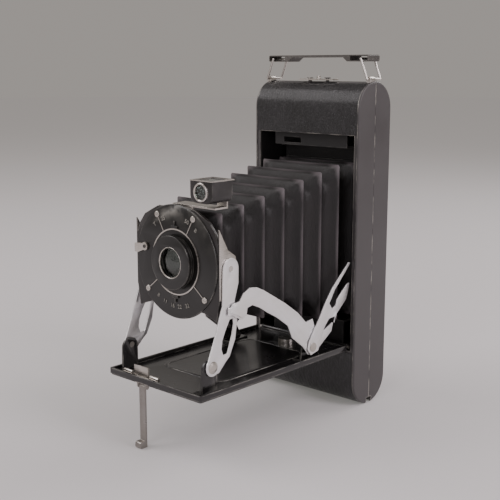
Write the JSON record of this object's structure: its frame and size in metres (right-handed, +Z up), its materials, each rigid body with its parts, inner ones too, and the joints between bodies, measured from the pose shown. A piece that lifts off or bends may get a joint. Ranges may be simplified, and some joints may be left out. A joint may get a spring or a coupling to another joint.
{
  "type": "folding roll-film camera",
  "caption": "Upright folding bellows camera with drop bed, self-erecting struts, disc lens board, reflecting finder, strap handle, hinged back and spools.",
  "frame": {"origin": "on the surface that the camera stands on, under the middle of its overall length and width", "axes": "+Z up, -Y out along the lens, +X to the finder's side; millimetre drawing stored in metres"},
  "size_m": [0.086, 0.1578, 0.2047],
  "materials": {
    "side_paint": "satin",
    "black_paint": "gloss",
    "face_enamel": "gloss",
    "leather": "grained satin",
    "strap_leather": "smooth satin",
    "bellows_cloth": "matte",
    "nickel": "worn polish",
    "steel": "satin",
    "spool_wood": "satin",
    "lens_glass": "clear",
    "ruby_glass": "clear",
    "mirror_glass": "mirror"
  },
  "bodies": {
    "body": {"body_shell": "side_paint", "body_leather": "leather", "inner_frame": "black_paint", "light_baffles": "black_paint", "hinge_rod": "steel", "back_hinge_pin": "steel", "lever_studs": "steel", "spool_studs": "steel", "handle_clips": "nickel", "bellows_frame": "black_paint", "bellows": "bellows_cloth"},
    "takeup": {"takeup_spool": "spool_wood"},
    "feed": {"feed_spool": "spool_wood"},
    "roller_high": {"roller_top": "steel"},
    "roller_low": {"roller_bottom": "steel"},
    "key": {"winding_key": "nickel"},
    "back": {"back_cover": "side_paint", "back_leather": "leather", "ruby_glass": "ruby_glass"},
    "window": {"window_cover": "black_paint"},
    "pressure": {"pressure_plate": "black_paint", "pressure_spring": "steel"},
    "latch": {"back_latch": "nickel"},
    "loop_right": {"handle_loop_right": "nickel"},
    "loop_left": {"handle_loop_left": "nickel"},
    "strap": {"handle_strap": "strap_leather"},
    "bed": {"bed_tray": "black_paint", "bed_leather": "leather", "tripod_bush": "nickel", "bed_latch": "nickel", "front_ears": "black_paint", "rear_ears": "black_paint", "bed_rivets": "nickel", "foot_bracket": "nickel"},
    "foot": {"foot": "nickel"},
    "struts": {"strut_right": "nickel", "strut_left": "nickel", "top_rivets": "nickel"},
    "links": {"link_right": "nickel", "link_left": "nickel"},
    "levers": {"lever_right": "nickel", "lever_left": "nickel"},
    "standard": {"standard_plate": "black_paint", "shutter_housing": "black_paint", "shutter_blades": "steel", "iris": "steel", "rear_lens": "lens_glass", "faceplate": "face_enamel", "faceplate_trim": "nickel", "faceplate_screws": "nickel", "lens_mount": "black_paint", "finder_bracket": "black_paint"},
    "focus": {"focus_ring": "black_paint", "front_lens": "lens_glass"},
    "speed": {"speed_pointer": "nickel"},
    "aperture": {"aperture_pointer": "nickel"},
    "release": {"release_lever": "nickel"},
    "finder": {"finder_body": "black_paint", "finder_glasses": "lens_glass", "finder_mirror": "mirror_glass"}
  },
  "joints": [
    {"name": "bed_fold", "type": "hinge", "parent": "body", "child": "bed", "pos_m": [0.0043, 0.04645, 0.0369], "axis": [-1, 0, 0], "range_deg": [0, 90]},
    {"name": "strut_fold", "type": "hinge", "parent": "bed", "child": "struts", "pos_m": [0.0043, -0.06415, 0.0501], "axis": [-1, 0, 0], "range_deg": [0, 74.67]},
    {"name": "standard_fold", "type": "hinge", "parent": "struts", "child": "standard", "pos_m": [0.0043, -0.05085, 0.0986], "axis": [-1, 0, 0], "range_deg": [-164.67, 0], "deforming": ["bellows"]},
    {"name": "link_fold", "type": "hinge", "parent": "bed", "child": "links", "pos_m": [0.0043, 0.01225, 0.0445], "axis": [-1, 0, 0], "range_deg": [-27.71, 0]},
    {"name": "lever_fold", "type": "hinge", "parent": "bed", "child": "levers", "pos_m": [0.0043, 0.01225, 0.0445], "axis": [-1, 0, 0], "range_deg": [-126.51, 0]},
    {"name": "foot_fold", "type": "hinge", "parent": "bed", "child": "foot", "pos_m": [-0.00545, -0.07435, 0.0334], "axis": [1, 0, 0], "range_deg": [0, 90]},
    {"name": "finder_turn", "type": "hinge", "parent": "standard", "child": "finder", "pos_m": [0.02755, -0.04855, 0.1375], "axis": [0, 1, 0], "range_deg": [0, 90]},
    {"name": "focus_turn", "type": "hinge", "parent": "standard", "child": "focus", "pos_m": [0.0043, -0.06295, 0.099], "axis": [0, -1, 0], "range_deg": [0, 240]},
    {"name": "speed_turn", "type": "hinge", "parent": "standard", "child": "speed", "pos_m": [0.0043, -0.05885, 0.099], "axis": [0, -1, 0], "range_deg": [-18, 18]},
    {"name": "aperture_turn", "type": "hinge", "parent": "standard", "child": "aperture", "pos_m": [0.0043, -0.05885, 0.099], "axis": [0, -1, 0], "range_deg": [-35, 35]},
    {"name": "release_press", "type": "hinge", "parent": "standard", "child": "release", "pos_m": [-0.0183, -0.05885, 0.1046], "axis": [0, -1, 0], "range_deg": [0, 12], "stiffness_Nm_per_rad": 0.01, "springref_deg": -8.59},
    {"name": "back_open", "type": "hinge", "parent": "body", "child": "back", "pos_m": [0.0043, 0.06095, 0.0016], "axis": [-1, 0, 0], "range_deg": [0, 80]},
    {"name": "latch_slide", "type": "slide", "parent": "body", "child": "latch", "axis": [1, 0, 0], "range_m": [0, 0.0032]},
    {"name": "window_slide", "type": "slide", "parent": "back", "child": "window", "axis": [-1, 0, 0], "range_m": [0, 0.0148]},
    {"name": "pressure_slide", "type": "slide", "parent": "back", "child": "pressure", "axis": [0, 1, 0], "range_m": [0, 0.001], "stiffness_N_per_m": 300, "springref_m": -0.004, "deforming": ["pressure_spring"]},
    {"name": "key_turn", "type": "hinge", "parent": "body", "child": "key", "pos_m": [-0.03445, 0.06095, 0.1745], "axis": [1, 0, 0], "continuous": true},
    {"name": "takeup_turn", "type": "hinge", "parent": "body", "child": "takeup", "pos_m": [0.0043, 0.06095, 0.1745], "axis": [1, 0, 0], "continuous": true},
    {"name": "feed_turn", "type": "hinge", "parent": "body", "child": "feed", "pos_m": [0.0043, 0.06095, 0.0155], "axis": [1, 0, 0], "continuous": true},
    {"name": "roller_top_turn", "type": "hinge", "parent": "body", "child": "roller_high", "pos_m": [0.0043, 0.06705, 0.1602], "axis": [1, 0, 0], "continuous": true},
    {"name": "roller_bottom_turn", "type": "hinge", "parent": "body", "child": "roller_low", "pos_m": [0.0043, 0.06705, 0.0294], "axis": [1, 0, 0], "continuous": true},
    {"name": "handle_right", "type": "hinge", "parent": "body", "child": "loop_right", "pos_m": [0.0413, 0.06095, 0.1912], "axis": [0, -1, 0], "range_deg": [0, 46.1]},
    {"name": "handle_left", "type": "hinge", "parent": "body", "child": "loop_left", "pos_m": [-0.0327, 0.06095, 0.1912], "axis": [0, 1, 0], "range_deg": [0, 46.1]},
    {"name": "strap_drop", "type": "slide", "parent": "body", "child": "strap", "axis": [0, 0, -1], "range_m": [0, 0.00669]}
  ],
  "couplings": [
    {"joint": "strut_fold", "follows": "bed_fold", "ratio": 0.82961},
    {"joint": "standard_fold", "follows": "bed_fold", "ratio": -1.8296},
    {"joint": "link_fold", "follows": "bed_fold", "ratio": -0.30778},
    {"joint": "lever_fold", "follows": "bed_fold", "ratio": -1.4056},
    {"joint": "takeup_turn", "follows": "key_turn", "ratio": 1},
    {"joint": "handle_right", "follows": "strap_drop", "rad_per_m": 120.05},
    {"joint": "handle_left", "follows": "strap_drop", "rad_per_m": 120.05}
  ]
}
